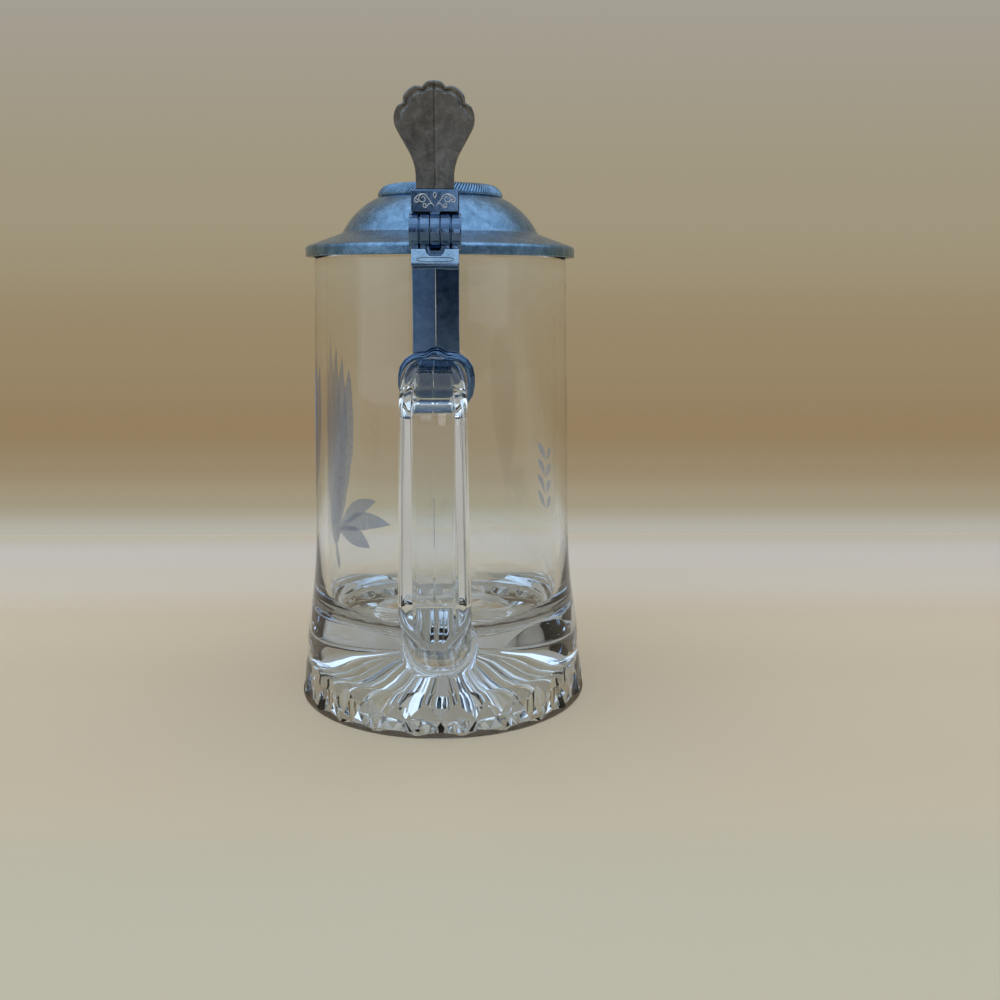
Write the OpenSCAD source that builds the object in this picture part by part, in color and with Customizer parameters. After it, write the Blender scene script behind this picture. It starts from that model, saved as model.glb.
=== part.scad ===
// Half-litre glass beer stein with a hinged pewter lid.
// Millimetres, +Z up. The origin is on the glass axis, in the plane the foot stands on.
// The handle and the hinge are on the -Y side; the hinge pin runs along X.

/* [Glass vessel] */
// Height of the glass to its rim
glass_h = 152.3; // [140:0.1:165]
// Outer radius at the rim
rim_r = 42.1; // [39:0.1:45]
// Outer radius at the waist, where the wall starts to flare out
waist_r = 44.6; // [43.5:0.1:46.5]
// Height of the waist
waist_z = 46; // [40:1:54]
// Outer radius at the shoulder of the thick base
shoulder_r = 48.5; // [47:0.1:49]
// Height of the shoulder
shoulder_z = 21; // [19:0.5:25]
// Length either side of the shoulder's corner over which it is rounded
shoulder_ease = 3.1; // [1:0.1:3.5]
// Length either side of the waist's corner over which it is rounded
waist_ease = 14.5; // [8:0.5:15]
// Thickness of the wall
wall = 3.8; // [3:0.1:5]
// Height of the inner floor
floor_z = 26; // [20:0.5:32]
// Radius of the flat disc in the middle of the inner floor
floor_disc_r = 25; // [20:0.5:28]
// Rise of the inner floor from that disc to the wall
floor_rise = 6; // [3:0.5:8]
// Radius of the corner between the inner wall and the floor
floor_corner_r = 10; // [6:0.5:12]

/* [Foot] */
// Outer radius of the foot
foot_r = 50.7; // [50:0.1:53]
// Radius of the foot's lower edge
foot_edge_r = 0.7; // [0.4:0.1:1]
// Flare of the foot from the top of its flutes down to the table
foot_flare = 1.3; // [0.9:0.1:1.8]
// Height over which the foot narrows to the shoulder, above its flutes
foot_narrow_h = 4; // [3:0.5:5]
// Length either side of the corners above the flutes over which they are rounded
foot_ease = 0.5; // [0.3:0.1:1]
// Flutes round the foot, and rays in the star underneath
flute_count = 22; // [18:1:26]
// Height at which the flutes start
flute_low = 0.8; // [0.7:0.1:2]
// Height at which the flutes end
flute_h = 10.5; // [8:0.5:12]
// Depth of a flute below the full radius of the foot
flute_depth = 1.3; // [1.1:0.1:2.4]
// Width of the standing ring
stand_w = 3; // [2:0.5:6]
// Height of the recess just inside the standing ring
recess_h = 0.8; // [0.5:0.1:2]
// Radius of the star
star_r = 36; // [30:0.5:40]
// Height of the step from the recess up to the star's edge
star_step = 0.3; // [0.2:0.1:0.6]
// Height of the star at its middle
punt_h = 18; // [12:0.5:19]
// Depth of a star ray at its outer end
ray_depth = 5; // [3:0.1:6]

/* [Handle] */
// Gap for the fingers, from the wall's radius at the rim to the inside of the grip
finger_gap = 27.9; // [24:0.1:34]
// Thickness of the handle
handle_t = 14.5; // [14.1:0.1:16]
// Width of the handle at its upper arm
handle_top_w = 18.6; // [16:0.1:19]
// Width of the handle at its lower arm
handle_low_w = 20.6; // [18.4:0.1:23]
// Width of the panel between the two ribs along the outside of the grip
panel_w = 11.2; // [9:0.1:11.4]
// Depth of that panel below the ribs
panel_d = 0.7; // [0.3:0.1:1]
// Radius of the ribs' outer edges along the grip
rib_r = 2.3; // [1.5:0.1:2.4]
// Rounding of the arms' outer edges, as a share of the upper arm's width
arm_round = 0.46; // [0.3:0.01:0.47]
// Outer radius of the two bends
bend_r = 17; // [15.5:0.5:22]
// Drop from the rim to the top of the upper arm
arm_drop = 30.3; // [26:0.1:36]
// Height at which the lower bend starts
low_bend_z = 53; // [48:0.5:60]
// Angle through which the lower bend turns back to the base
low_bend_turn = 60; // [50:1:70]
// Spread of the roots where the handle is fused to the vessel
root_spread = 1.6; // [0.5:0.1:2.5]

/* [Handle ring] */
// Thickness of the collar at the sides of the handle
collar_t = 2.1; // [1.5:0.1:3]
// Rise of the collar's peak over the handle
collar_peak = 3; // [2.4:0.1:4]
// Depth of the collar along the arm
collar_d = 6; // [4:0.1:8]
// Depth of the collar's thin front lip
collar_lip = 2.2; // [1:0.1:3]

/* [Hinge] */
// Radius of the knuckles
knuckle_r = 5.2; // [4.4:0.1:6]
// Width over the two ears
ears_w = 15; // [12:0.1:17]
// Width of the lid's centre knuckle
tang_w = 2.8; // [2.2:0.1:4]
// Radius of the hinge pin
pin_r = 1.5; // [1:0.1:2]
// Gap between the lid's flange and the knuckles
hinge_gap = 1.3; // [0.8:0.1:2.5]
// Height of the knuckles' underside over the lid's flange
hinge_lift = 0.9; // [0.4:0.1:2]
// Depth of the groove turned in each ear
ear_groove = 0.5; // [0.2:0.1:0.8]
// Width of the strap and its saddle
strap_w = 13.8; // [11:0.1:16]
// Thickness of the strap at its edges
strap_t = 2.8; // [2:0.1:4]
// Rise of the ridge along the strap's front
strap_ridge = 1.6; // [0.8:0.1:2.5]
// Height of the saddle plate under the ears
saddle_h = 4.9; // [4:0.1:6]
// Overhang of the saddle's lower edge in front of the strap
saddle_lip = 1.9; // [1:0.1:2.5]
// Width of the notch in the saddle
notch_w = 5.4; // [4:0.1:7]

/* [Lid] */
// Overhang of the lid's flange past the rim of the glass
flange_over = 2.9; // [1.5:0.1:4]
// Height of the flange's edge
flange_edge = 3.3; // [2.4:0.1:4.5]
// Rise of the flange from its edge to the dome
flange_rise = 4.4; // [3:0.1:6]
// Radius of the dome at its base
dome_r = 32.8; // [29:0.1:36]
// Rise of the dome from its base to the crown
dome_h = 11.6; // [9:0.1:15]
// Radius of curvature of the dome's side
dome_bow = 25; // [18:0.5:60]
// Thickness of the lid's metal
lid_t = 2; // [1.5:0.1:2.6]
// Depth of the flange's turned-down edge, which centres the lid on the rim
skirt_h = 1; // [0.6:0.1:1.4]

/* [Medallion] */
// Radius of the medallion over its rope border
medallion_r = 20.8; // [17:0.1:24]
// Width of the rope border
rope_w = 4.4; // [3:0.1:6]
// Height of the rope border
rope_h = 4.4; // [3:0.1:6]
// Height of the field inside the border, at its centre
field_h = 5; // [3.5:0.1:6]

/* [Thumblift] */
// Height of the block that carries the thumblift
block_h = 6.3; // [5:0.1:8]
// Height of the thumblift over its block
lift_h = 29.2; // [24:0.1:36]
// Radius of each lobe along the scalloped edge
lobe_r = 6; // [5.5:0.1:6.3]
// Radius of the fan that the lobes' centres lie on
fan_r = 5.6; // [5.2:0.1:6]
// Angle from one lobe to the next
lobe_step = 38; // [34:1:42]
// Width of the thumblift's neck
neck_w = 11; // [8:0.1:13]
// Thickness of the thumblift
lift_t = 2.4; // [1.6:0.1:3]
// Angle of each half of the face back from the centre ridge
lift_fold = 9; // [4:1:14]
// Radius of the backward curve of the thumblift, seen from the side
lift_curve = 150; // [90:5:300]

/* [Fits] */
// Gap between the closed lid and the rim of the glass
lid_gap = 0.3; // [0.2:0.05:0.6]
// Gap between the flange's turned-down edge and the outside of the rim
skirt_gap = 0.7; // [0.6:0.05:1]
// Side gap between the lid's knuckle and the ears
knuckle_gap = 0.15; // [0.1:0.05:0.3]
// Gap round the ears for the turning tang
turn_gap = 0.45; // [0.3:0.05:0.8]
// Radial clearance of the pin in the lid's knuckle
pin_clear = 0.05; // [0.02:0.01:0.1]

/* [Hidden] */

$fn = 96;
past = 1;                                     // how far a cutting shape runs past the part
taper = (waist_r - rim_r) / (glass_h - waist_z);
stand_in_r = foot_r - foot_edge_r - stand_w;  // inner radius of the standing ring
recess_r = stand_in_r - recess_h;             // radius of the recess inside that ring

arm_top_z = glass_h - arm_drop;
grip_y = -(rim_r + finger_gap + handle_t);    // outside face of the grip
bend_y = grip_y + bend_r;
arm_edge_r = arm_round * handle_top_w;

flange_r = rim_r + flange_over;
seat_z = glass_h + lid_gap;                    // underside of the flange over the rim
flange_z = seat_z - skirt_h;                  // lower edge of the flange
dome_z = flange_z + flange_edge + flange_rise;
crown_z = dome_z + dome_h;

hinge_y = -(flange_r + hinge_gap + knuckle_r);
hinge_z = flange_z + hinge_lift + knuckle_r;
slot_w = tang_w + 2 * knuckle_gap;
block_z = hinge_z + knuckle_r + turn_gap;
block_front = hinge_y - knuckle_r * 0.25;
block_back = hinge_y + knuckle_r * 0.8;
lift_z = block_z + block_h;

strap_back = hinge_y + knuckle_r * 0.3;
strap_front = strap_back - strap_t;
ridge_y = strap_front - strap_ridge;
saddle_z = hinge_z - knuckle_r + 0.3;         // upper edge of the saddle, just inside the ears
saddle_low = saddle_z - saddle_h;
collar_back = strap_back + (collar_d - strap_t - strap_ridge) / 2;

pewter = [0.46, 0.49, 0.53];
dark_pewter = [0.33, 0.32, 0.31];
clear_glass = [0.80, 0.88, 0.90, 0.35];

// Points of an arc round the corner b of the path a, b, c.
function corner_arc(a, b, c, r, steps) =
    let (
        u = (a - b) / norm(a - b),
        w = (c - b) / norm(c - b),
        half = acos(u * w) / 2,
        reach = r / tan(half),
        centre = b + (u + w) / norm(u + w) * r / sin(half),
        from = b + u * reach - centre,
        to = b + w * reach - centre,
        start = atan2(from.y, from.x),
        turn = atan2(from.x * to.y - from.y * to.x, from * to)
    )
    [for (i = [0:steps]) centre + r * [cos(start + turn * i / steps), sin(start + turn * i / steps)]];

// Corner b of the path a, b, c with the radius of a rounding that starts reach before it.
function eased(a, b, c, reach) =
    let (half = acos((a - b) * (c - b) / (norm(a - b) * norm(c - b))) / 2)
    [b.x, b.y, reach * tan(half)];

// Closed outline through corners given as [x, y, corner radius].
function rounded(corners, steps = 5) =
    let (n = len(corners), at = [for (p = corners) [p.x, p.y]])
    [for (i = [0:n - 1])
        each corners[i].z > 0
            ? corner_arc(at[(i + n - 1) % n], at[i], at[(i + 1) % n], corners[i].z, steps)
            : [at[i]]];

// Points between p and q on an arc of radius r that bulges to the left of the way from p to q.
function bowed(p, q, r, steps = 8) =
    let (
        half = (q - p) / 2,
        side = [-half.y, half.x] / norm(half),
        centre = p + half - side * sqrt(r * r - half * half),
        from = p - centre,
        start = atan2(from.y, from.x),
        turn = -2 * asin(norm(half) / r)
    )
    [for (i = [1:steps - 1]) centre + r * [cos(start + turn * i / steps), sin(start + turn * i / steps)]];

function mirrored(points) = [for (i = [len(points) - 1:-1:0]) [-points[i].x, points[i].y, points[i].z]];

// Outer corners of the glass from the foot up to the rim.
function glass_outside() =
    let (
        foot = [foot_r, 0],
        foot_top = [foot_r - foot_flare, flute_h],
        shoulder_low = [shoulder_r, flute_h + foot_narrow_h],
        shoulder = [shoulder_r, shoulder_z],
        waist = [waist_r, waist_z],
        rim = [rim_r, glass_h]
    )
    [
        [foot.x, foot.y, foot_edge_r],
        eased(foot, foot_top, shoulder_low, foot_ease),
        eased(foot_top, shoulder_low, shoulder, foot_ease),
        eased(shoulder_low, shoulder, waist, shoulder_ease),
        eased(shoulder, waist, rim, waist_ease),
        [rim.x, rim.y, wall * 0.45]
    ];

// The glass filled solid, to seat the handle's roots on its outside.
module glass_filled() {
    rotate_extrude($fn = 88)
        polygon(rounded(concat([[0, 0, 0]], glass_outside(), [[0, glass_h, 0]])));
}

// Hollow cut upright into the side of the foot.
module flute() {
    flute_r = foot_r - flute_depth;
    half_w = PI * foot_r / flute_count;
    // radius that leaves a sharp edge between neighbours at the full radius of the foot
    bore = 1 / (2 * flute_depth / pow(half_w, 2) - 1 / flute_r);
    translate([flute_r + bore, 0, flute_low])
        cylinder(h = flute_h - flute_low, r = bore);
}

// Star of pointed grooves that rises from the recess to the middle of the underside.
module star() {
    n = 2 * flute_count;
    edge_z = recess_h + star_step;
    ring = [for (i = [0:n - 1]) star_r * [cos(i * 360 / n - 90), sin(i * 360 / n - 90)]];
    low = [for (p = ring) [p.x, p.y, recess_h - past]];
    high = [for (i = [0:n - 1]) [ring[i].x, ring[i].y, edge_z + ray_depth * (i % 2)]];
    sides = [for (i = [0:n - 1])
        let (k = (i + 1) % n)
        each [[i, n + i, n + k], [i, n + k, k], [n + i, 2 * n, n + k]]];
    polyhedron(concat(low, high, [[0, 0, punt_h]]), concat(sides, [[for (i = [0:n - 1]) i]]));
}

module glass_body() {
    wall_foot_z = floor_z + floor_rise;
    inside = [
        [rim_r - wall, glass_h, wall * 0.45],
        [rim_r - wall + taper * (glass_h - wall_foot_z), wall_foot_z, floor_corner_r],
        [floor_disc_r, floor_z, 0],
        [0, floor_z, 0]
    ];
    underside = [
        [0, recess_h, 0],
        [recess_r, recess_h, 0],
        [stand_in_r, 0, 0]
    ];
    color(clear_glass)
    difference() {
        rotate_extrude($fn = 88)
            polygon(rounded(concat(underside, glass_outside(), inside)));
        for (i = [0:flute_count - 1])
            rotate(i * 360 / flute_count - 90)
            flute();
        star();
    }
}

function mix(a, b, t) = a + (b - a) * t;

// Section of the handle: x across, y inwards from its outside face. Ribs rise along it as rib goes
// from 0 on the round arms to 1 on the grip.
function handle_section(w, rib = 0, spread = 0) =
    let (
        back = handle_t * 0.3,
        panel = panel_w * mix(0.1, 1, rib),
        dip = panel_d * mix(0.1, 1, rib),
        half = [
            [(panel - dip) / 2, dip - spread, dip * 0.6],
            [(panel + dip) / 2, -spread, dip * 0.6],
            [w / 2 + spread, -spread, mix(arm_edge_r, rib_r, rib)],
            [w / 2 + spread, handle_t - back + spread, 3],
            [w / 2 - back, handle_t + spread, 3]
        ]
    )
    rounded(concat(half, mirrored(half)), 3);

// A station on a bend about height z: its point on the outside face, its outward angle, width, rib and spread.
function bend_station(z, a, w, rib) =
    [[bend_y - bend_r * sin(a), z + bend_r * cos(a)], a, w, rib, 0];

function handle_stations() =
    let (
        root_y = -(rim_r - wall),
        wall_y = -(rim_r + taper * arm_drop),
        last = 90 + low_bend_turn,
        way = [-cos(last), -sin(last)],
        low_out = [bend_y - bend_r * sin(last), low_bend_z + bend_r * cos(last)],
        to_base = (-shoulder_r - 1 - low_out.x) / way.x
    )
    concat(
        [for (k = [[root_y, 1], [wall_y, 1], [wall_y - 2, 0.35], [wall_y - 4, 0]])
            [[k[0], arm_top_z], 0, handle_top_w, 0, root_spread * k[1]]],
        [for (i = [0:10]) bend_station(arm_top_z - bend_r, 9 * i, handle_top_w, max(0, min(1, i / 4 - 1)))],
        [for (i = [0:8]) bend_station(low_bend_z, 90 + low_bend_turn * i / 8, handle_low_w, max(0, 1 - i / 5))],
        [for (k = [[0.55, 0], [0.75, 0.2], [0.9, 0.55], [1, 1], [1.5, 1.6]])
            [low_out + way * to_base * k[0], last, handle_low_w, 0, root_spread * k[1]]]
    );

// Solid swept through the stations, with triangles between one section and the next.
module swept(stations) {
    rings = [for (s = stations)
        [for (q = handle_section(s[2], s[3], s[4]))
            [q.x, s[0].x + q.y * sin(s[1]), s[0].y - q.y * cos(s[1])]]];
    n = len(rings[0]);
    m = len(rings);
    sides = [for (j = [0:m - 2], i = [0:n - 1])
        let (k = (i + 1) % n)
        each [[j * n + i, j * n + k, (j + 1) * n + k], [j * n + i, (j + 1) * n + k, (j + 1) * n + i]]];
    caps = [[for (i = [n - 1:-1:0]) i], [for (i = [0:n - 1]) (m - 1) * n + i]];
    polyhedron([for (r = rings) each r], concat(sides, caps));
}

module glass_handle() {
    color(clear_glass)
    difference() {
        swept(handle_stations());
        glass_filled();
    }
}

// Places a flat outline drawn in x and z, from y = front for a depth towards +Y.
module plate(front, depth) {
    translate([0, front + depth, 0])
        rotate([90, 0, 0])
        linear_extrude(depth)
        children();
}

// Places a side view drawn in y and z, centred across x.
module across(width) {
    rotate([90, 0, 90])
        translate([0, 0, -width / 2])
        linear_extrude(width)
        children();
}

module arm_outline() {
    translate([0, arm_top_z])
        mirror([0, 1])
        polygon(handle_section(handle_top_w));
}

// Outside of the collar, drawn about the handle: a high lobe between two low ones, and a round underside.
module collar_outline(grow = 0) {
    half_w = handle_top_w / 2 + collar_t + grow;
    top = arm_top_z + grow;
    low = arm_top_z - handle_t - collar_t - grow;
    half = [
        [half_w, low, 8 + grow],
        [half_w, top + collar_peak * 0.4, 7 + grow],
        [panel_w * 0.28, top + collar_peak * 0.42, 0.8]
    ];
    polygon(rounded(concat(half, [[0, top + collar_peak * 1.05, 3]], mirrored(half)), 4));
}

module handle_ring() {
    color(pewter)
    difference() {
        union() {
            plate(collar_back - collar_d + collar_lip, collar_d - collar_lip) collar_outline();
            plate(collar_back - collar_d, collar_lip) collar_outline(-collar_t * 0.45);
        }
        plate(collar_back - collar_d - past, collar_d + 2 * past) arm_outline();
    }
}

module knuckle(r, from, to) {
    translate([from, hinge_y, hinge_z])
        rotate([0, 90, 0])
        cylinder(h = to - from, r = r);
}

module ear() {
    mid = (slot_w + ears_w) / 4;
    difference() {
        union() {
            knuckle(knuckle_r, slot_w / 2, ears_w / 2);
            translate([slot_w / 2, hinge_y - knuckle_r * 0.65, saddle_z - saddle_h / 2])
                cube([(strap_w - slot_w) / 2, knuckle_r * 1.3, hinge_z - saddle_z + saddle_h / 2]);
        }
        difference() {
            knuckle(knuckle_r + past, mid - ear_groove / 2, mid + ear_groove / 2);
            knuckle(knuckle_r - ear_groove, mid - ear_groove, mid + ear_groove);
            translate([0, hinge_y - knuckle_r, saddle_z - saddle_h])
                cube([ears_w, 2 * knuckle_r, saddle_h]);
        }
    }
}

// Plate under the ears, sloping out to a lip over the strap.
module saddle() {
    lip_y = ridge_y - saddle_lip;
    edge = saddle_h * 0.2;
    intersection() {
        across(strap_w)
            polygon([
                [hinge_y - knuckle_r * 0.72, saddle_z],
                [lip_y, saddle_low + edge],
                [lip_y, saddle_low],
                [strap_back, saddle_low - edge],
                [strap_back, saddle_z]
            ]);
        plate(lip_y - past, strap_back - lip_y + 2 * past)
            polygon(rounded([
                [-strap_w / 2, saddle_low - edge, saddle_h * 0.3],
                [strap_w / 2, saddle_low - edge, saddle_h * 0.3],
                [strap_w / 2, saddle_z, 0],
                [-strap_w / 2, saddle_z, 0]
            ]));
    }
}

// Flat bar with a ridge along its front, drawn in x and y.
module strap_outline() {
    polygon([
        [-strap_w / 2, strap_back],
        [-strap_w / 2, strap_front],
        [0, ridge_y],
        [strap_w / 2, strap_front],
        [strap_w / 2, strap_back]
    ]);
}

module hinge_strap() {
    notch_z = saddle_z - saddle_h * 0.4;
    color(pewter)
    difference() {
        union() {
            translate([0, 0, arm_top_z])
                linear_extrude(saddle_low + saddle_h / 2 - arm_top_z)
                strap_outline();
            saddle();
            ear();
            mirror([1, 0, 0]) ear();
        }
        plate(collar_back - collar_d - past, collar_d + 2 * past) collar_outline();
        knuckle(knuckle_r + turn_gap, -slot_w / 2, slot_w / 2);
        knuckle(pin_r, -ears_w, ears_w);
        plate(hinge_y - 2 * knuckle_r, 1.6 * knuckle_r)
            polygon(rounded([
                [-notch_w / 2, notch_z, notch_w * 0.3],
                [notch_w / 2, notch_z, notch_w * 0.3],
                [notch_w / 2, saddle_z + past, 0],
                [-notch_w / 2, saddle_z + past, 0]
            ]));
    }
}

module hinge_pin() {
    color(dark_pewter)
        knuckle(pin_r, -ears_w / 2, ears_w / 2);
}

// Outer corners of the lid from its crown to the lower edge of the flange.
function lid_outside() = concat(
    [[0, crown_z]],
    [[medallion_r, crown_z]],
    bowed([medallion_r, crown_z], [dome_r, dome_z], dome_bow),
    rounded([
        [dome_r, dome_z, 0],
        [flange_r, flange_z + flange_edge, flange_edge * 0.4],
        [flange_r, flange_z, flange_edge * 0.1],
        [rim_r + skirt_gap, flange_z, 0]
    ], 4)
);

// The lid filled solid down to its flange, to seat the tang on its outside.
module lid_filled() {
    rotate_extrude($fn = 120)
        polygon(concat(lid_outside(), [[0, flange_z]]));
}

module lid_cover() {
    mouth_r = rim_r - wall;
    inner_dome = [min(dome_r - lid_t, mouth_r), dome_z - lid_t];
    inside = concat(
        [[rim_r + skirt_gap, seat_z], [mouth_r, seat_z]],
        [inner_dome],
        [for (p = [bowed([medallion_r - lid_t, crown_z - lid_t], inner_dome, dome_bow)])
            each [for (i = [len(p) - 1:-1:0]) p[i]]],
        [[medallion_r - lid_t, crown_z - lid_t], [0, crown_z - lid_t]]
    );
    color(pewter)
        rotate_extrude($fn = 120)
        polygon(concat(lid_outside(), inside));
}

// Disc soldered to the crown: a round border, and a low domed field inside it.
module lid_medallion() {
    field_r = medallion_r - rope_w;
    edge_z = crown_z + field_h * 0.7;
    dome_radius = (pow(field_r, 2) + pow(field_h * 0.3, 2)) / (2 * field_h * 0.3);
    color(pewter)
        rotate_extrude($fn = 120)
        polygon(concat(
            [[0, crown_z]],
            rounded([
                [medallion_r, crown_z, 0],
                [medallion_r, crown_z + rope_h, rope_w * 0.49],
                [field_r, crown_z + rope_h, rope_w * 0.49],
                [field_r, edge_z - field_h * 0.1, 0]
            ]),
            [for (p = [bowed([0, crown_z + field_h], [field_r, edge_z], dome_radius)])
                each [for (i = [len(p) - 1:-1:0]) p[i]]],
            [[0, crown_z + field_h]]
        ));
}

// Knuckle, block and tongue in one casting, seen from the side and seated on the lid.
module lid_tang() {
    tongue_z = dome_z + dome_h * 0.28;
    color(pewter)
    difference() {
        union() {
            across(strap_w)
                polygon(rounded([
                    [block_front, block_z, 0],
                    [block_front, lift_z, 0.6],
                    [block_back, lift_z, 1.2],
                    [-(flange_r + dome_r) / 2 - 2, tongue_z, 4],
                    [-dome_r + 2, tongue_z + 1, 0],
                    [-dome_r + 2, dome_z - flange_rise, 0],
                    [-flange_r - turn_gap / 2, dome_z - flange_rise / 2, 0],
                    [hinge_y + knuckle_r, hinge_z, 0]
                ], 4));
            knuckle(knuckle_r, -tang_w / 2, tang_w / 2);
            translate([-tang_w / 2, block_front, hinge_z])
                cube([tang_w, knuckle_r - (block_front - hinge_y), block_z - hinge_z]);
        }
        lid_filled();
        knuckle(knuckle_r + turn_gap, -strap_w, -tang_w / 2);
        knuckle(knuckle_r + turn_gap, tang_w / 2, strap_w);
        knuckle(pin_r + pin_clear, -strap_w, strap_w);
    }
}

// Fan with round lobes along its upper edge, drawn in x and z from the top of the block.
module lift_outline() {
    fan_z = lift_h - fan_r - lobe_r;
    side_lobe = [fan_r * sin(2 * lobe_step), fan_z + fan_r * cos(2 * lobe_step)];
    half = [
        [neck_w / 2, 0, 0],
        [neck_w / 2, lift_h * 0.24, lift_h * 0.5],
        [side_lobe.x + lobe_r * 1.39, side_lobe.y + lobe_r * 0.39, lobe_r]
    ];
    polygon(rounded(concat(half, [[0, lift_h - lobe_r * 0.12, 0]], mirrored(half)), 12));
    for (a = [-lobe_step, 0, lobe_step])
        translate([fan_r * sin(a), fan_z + fan_r * cos(a)]) circle(lobe_r);
}

module thumblift() {
    reach = fan_r + lobe_r + past;
    color(dark_pewter)
    translate([0, block_front + lift_t * 0.7, lift_z])
    for (side = [-1, 1])
        intersection() {
            plate(-lift_h, 2 * lift_h) intersection() {
                lift_outline();
                translate([side > 0 ? 0 : -2 * reach, -past]) square([2 * reach, lift_h + 2 * past]);
            }
            rotate(-side * lift_fold)
                translate([0, -lift_curve, 0])
                rotate([0, 90, 0])
                difference() {
                    cylinder(h = 4 * reach, r = lift_curve + lift_t, center = true, $fn = 240);
                    cylinder(h = 4 * reach + past, r = lift_curve, center = true, $fn = 240);
                }
        }
}

glass_body();
glass_handle();
handle_ring();
hinge_strap();
hinge_pin();
lid_cover();
lid_medallion();
lid_tang();
thumblift();
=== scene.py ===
import math

import bmesh
import bpy
from mathutils import Matrix, Vector


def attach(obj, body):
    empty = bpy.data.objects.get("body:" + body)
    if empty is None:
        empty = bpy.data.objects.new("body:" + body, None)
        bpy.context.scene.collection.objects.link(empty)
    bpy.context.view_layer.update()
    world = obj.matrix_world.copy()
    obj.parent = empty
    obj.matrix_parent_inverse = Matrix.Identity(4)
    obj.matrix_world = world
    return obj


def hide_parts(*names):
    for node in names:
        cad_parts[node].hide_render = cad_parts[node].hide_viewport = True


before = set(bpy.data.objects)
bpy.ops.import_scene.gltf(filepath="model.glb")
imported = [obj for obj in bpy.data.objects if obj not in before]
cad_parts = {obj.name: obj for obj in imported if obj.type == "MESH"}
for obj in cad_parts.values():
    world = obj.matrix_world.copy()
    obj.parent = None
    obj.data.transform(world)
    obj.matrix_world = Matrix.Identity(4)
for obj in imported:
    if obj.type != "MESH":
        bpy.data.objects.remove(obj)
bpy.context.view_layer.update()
scene = bpy.context.scene

# Lengths are in millimetres, as in the part's source, and turn into metres when a mesh is made.
MM = 0.001

# Sizes of the glass vessel
GLASS_H = 152.3
RIM_R = 42.1
WAIST_R = 44.6
WAIST_Z = 46.0
WAIST_BEND_R = 220.0
SHOULDER_R = 48.5
SHOULDER_Z = 21.0
SHOULDER_BEND_R = 40.0
WALL = 3.8
RIM_EDGE_R = WALL * 0.45
FLOOR_Z = 26.0
FLOOR_DISC_R = 25.0
FLOOR_DISC_EDGE_R = 0.6
FLOOR_RISE = 6.0
FLOOR_CORNER_R = 10.0
FOOT_R = 50.66
FOOT_EDGE_R = 0.7
FOOT_FLARE = 1.3
FOOT_NARROW_H = 4.0
FOOT_BEND_R = 6.0
FLUTES = 22
FLUTE_LOW = 0.85
FLUTE_H = 10.5
FLUTE_D = 1.6
FLUTE_RUN_IN = 0.9
FLUTE_RUN_OUT = 0.7
FLUTE_POINTS = 16
STAND_W = 3.0
RECESS_H = 0.8
STAR_R = 32.0
STAR_STEP = 0.3
PUNT_H = 18.0
RAY_D = 4.5
RAY_BOW = 1.25
OUTLINE_STEP = 3.0
LEAST_STEP = 0.02

# Sizes of the glass handle
HANDLE_T = 14.5
TOP_W = 18.6
LOW_W = 20.6
PANEL_W = 11.2
PANEL_LEAST_W = 1.2
PANEL_EDGE_W = 0.8
PANEL_D = 0.7
PANEL_TRACE = 0.04
SEAM_W = 0.8
SEAM_H = 0.14
RIB_R = 2.3
RIBS_START = 0.56
RIBS_RISE = 0.22
RIBS_END = 0.85
ARM_EDGE_R = 0.46 * TOP_W
BEND_EDGE_R = 5.4
BACK_EDGE_R = 3.0
BACK_BEVEL = HANDLE_T * 0.3
BEND_R = 17.0
INSIDE_R = 4.2
ROOT_R = 2.6
ROOT_REACH = 70.0
ARM_TOP = GLASS_H - 30.3
ARM_THINS = 2.0
ARM_THINS_Y = -57.0
ARM_THINS_L = 7.0
ARM_SQUARES_Y = -56.0
ARM_SQUARES_L = 10.0
ARM_RINGS_Y = (-50, -55, -58, -60, -62, -64, -66)
LOW_ARM_RINGS = (3, 6, 9)
LOW_BEND_Z = 53.0
LOW_TURN = 60.0
GRIP_Y = -(RIM_R + 27.9 + HANDLE_T)
BEND_Y = GRIP_Y + BEND_R
UPPER_BEND_RINGS = 48
GRIP_RINGS = 20
LOWER_BEND_RINGS = 26

# Sizes of the print, measured along the wall and up from the table
SHEAF_AT = 60.0
SHEAF_Z = 50.0
SHEAF_LEAVES = 6
SIDE_LEAF_Z = 54.0
SPRIG_AT = -54.0
SPRIG_Z = 62.0
SPRIG_STEP = 6.0
PRINT_PROUD = 0.06

# Sizes of the lid and its medallion
SEAT_Z = GLASS_H + 0.3
SKIRT_H = 1.0
SKIRT_R = RIM_R + 0.7
LID_T = 2.0
LID_STEP = 2.0
FLANGE_R = RIM_R + 2.9
FLANGE_Z = SEAT_Z - SKIRT_H
FLANGE_EDGE = 3.3
FLANGE_RISE = 4.4
DOME_R = 32.8
DOME_BOW = 25.0
DOME_Z = FLANGE_Z + FLANGE_EDGE + FLANGE_RISE
CROWN_Z = DOME_Z + 11.6
MEDAL_R = 20.8
ROPE_W = 4.4
ROPE_H = 4.4
ROPE_STRANDS = 120
ROPE_TWIST = 0.085
FIELD_H = 5.0
PETALS = 12
PETAL_H = 0.42

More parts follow.
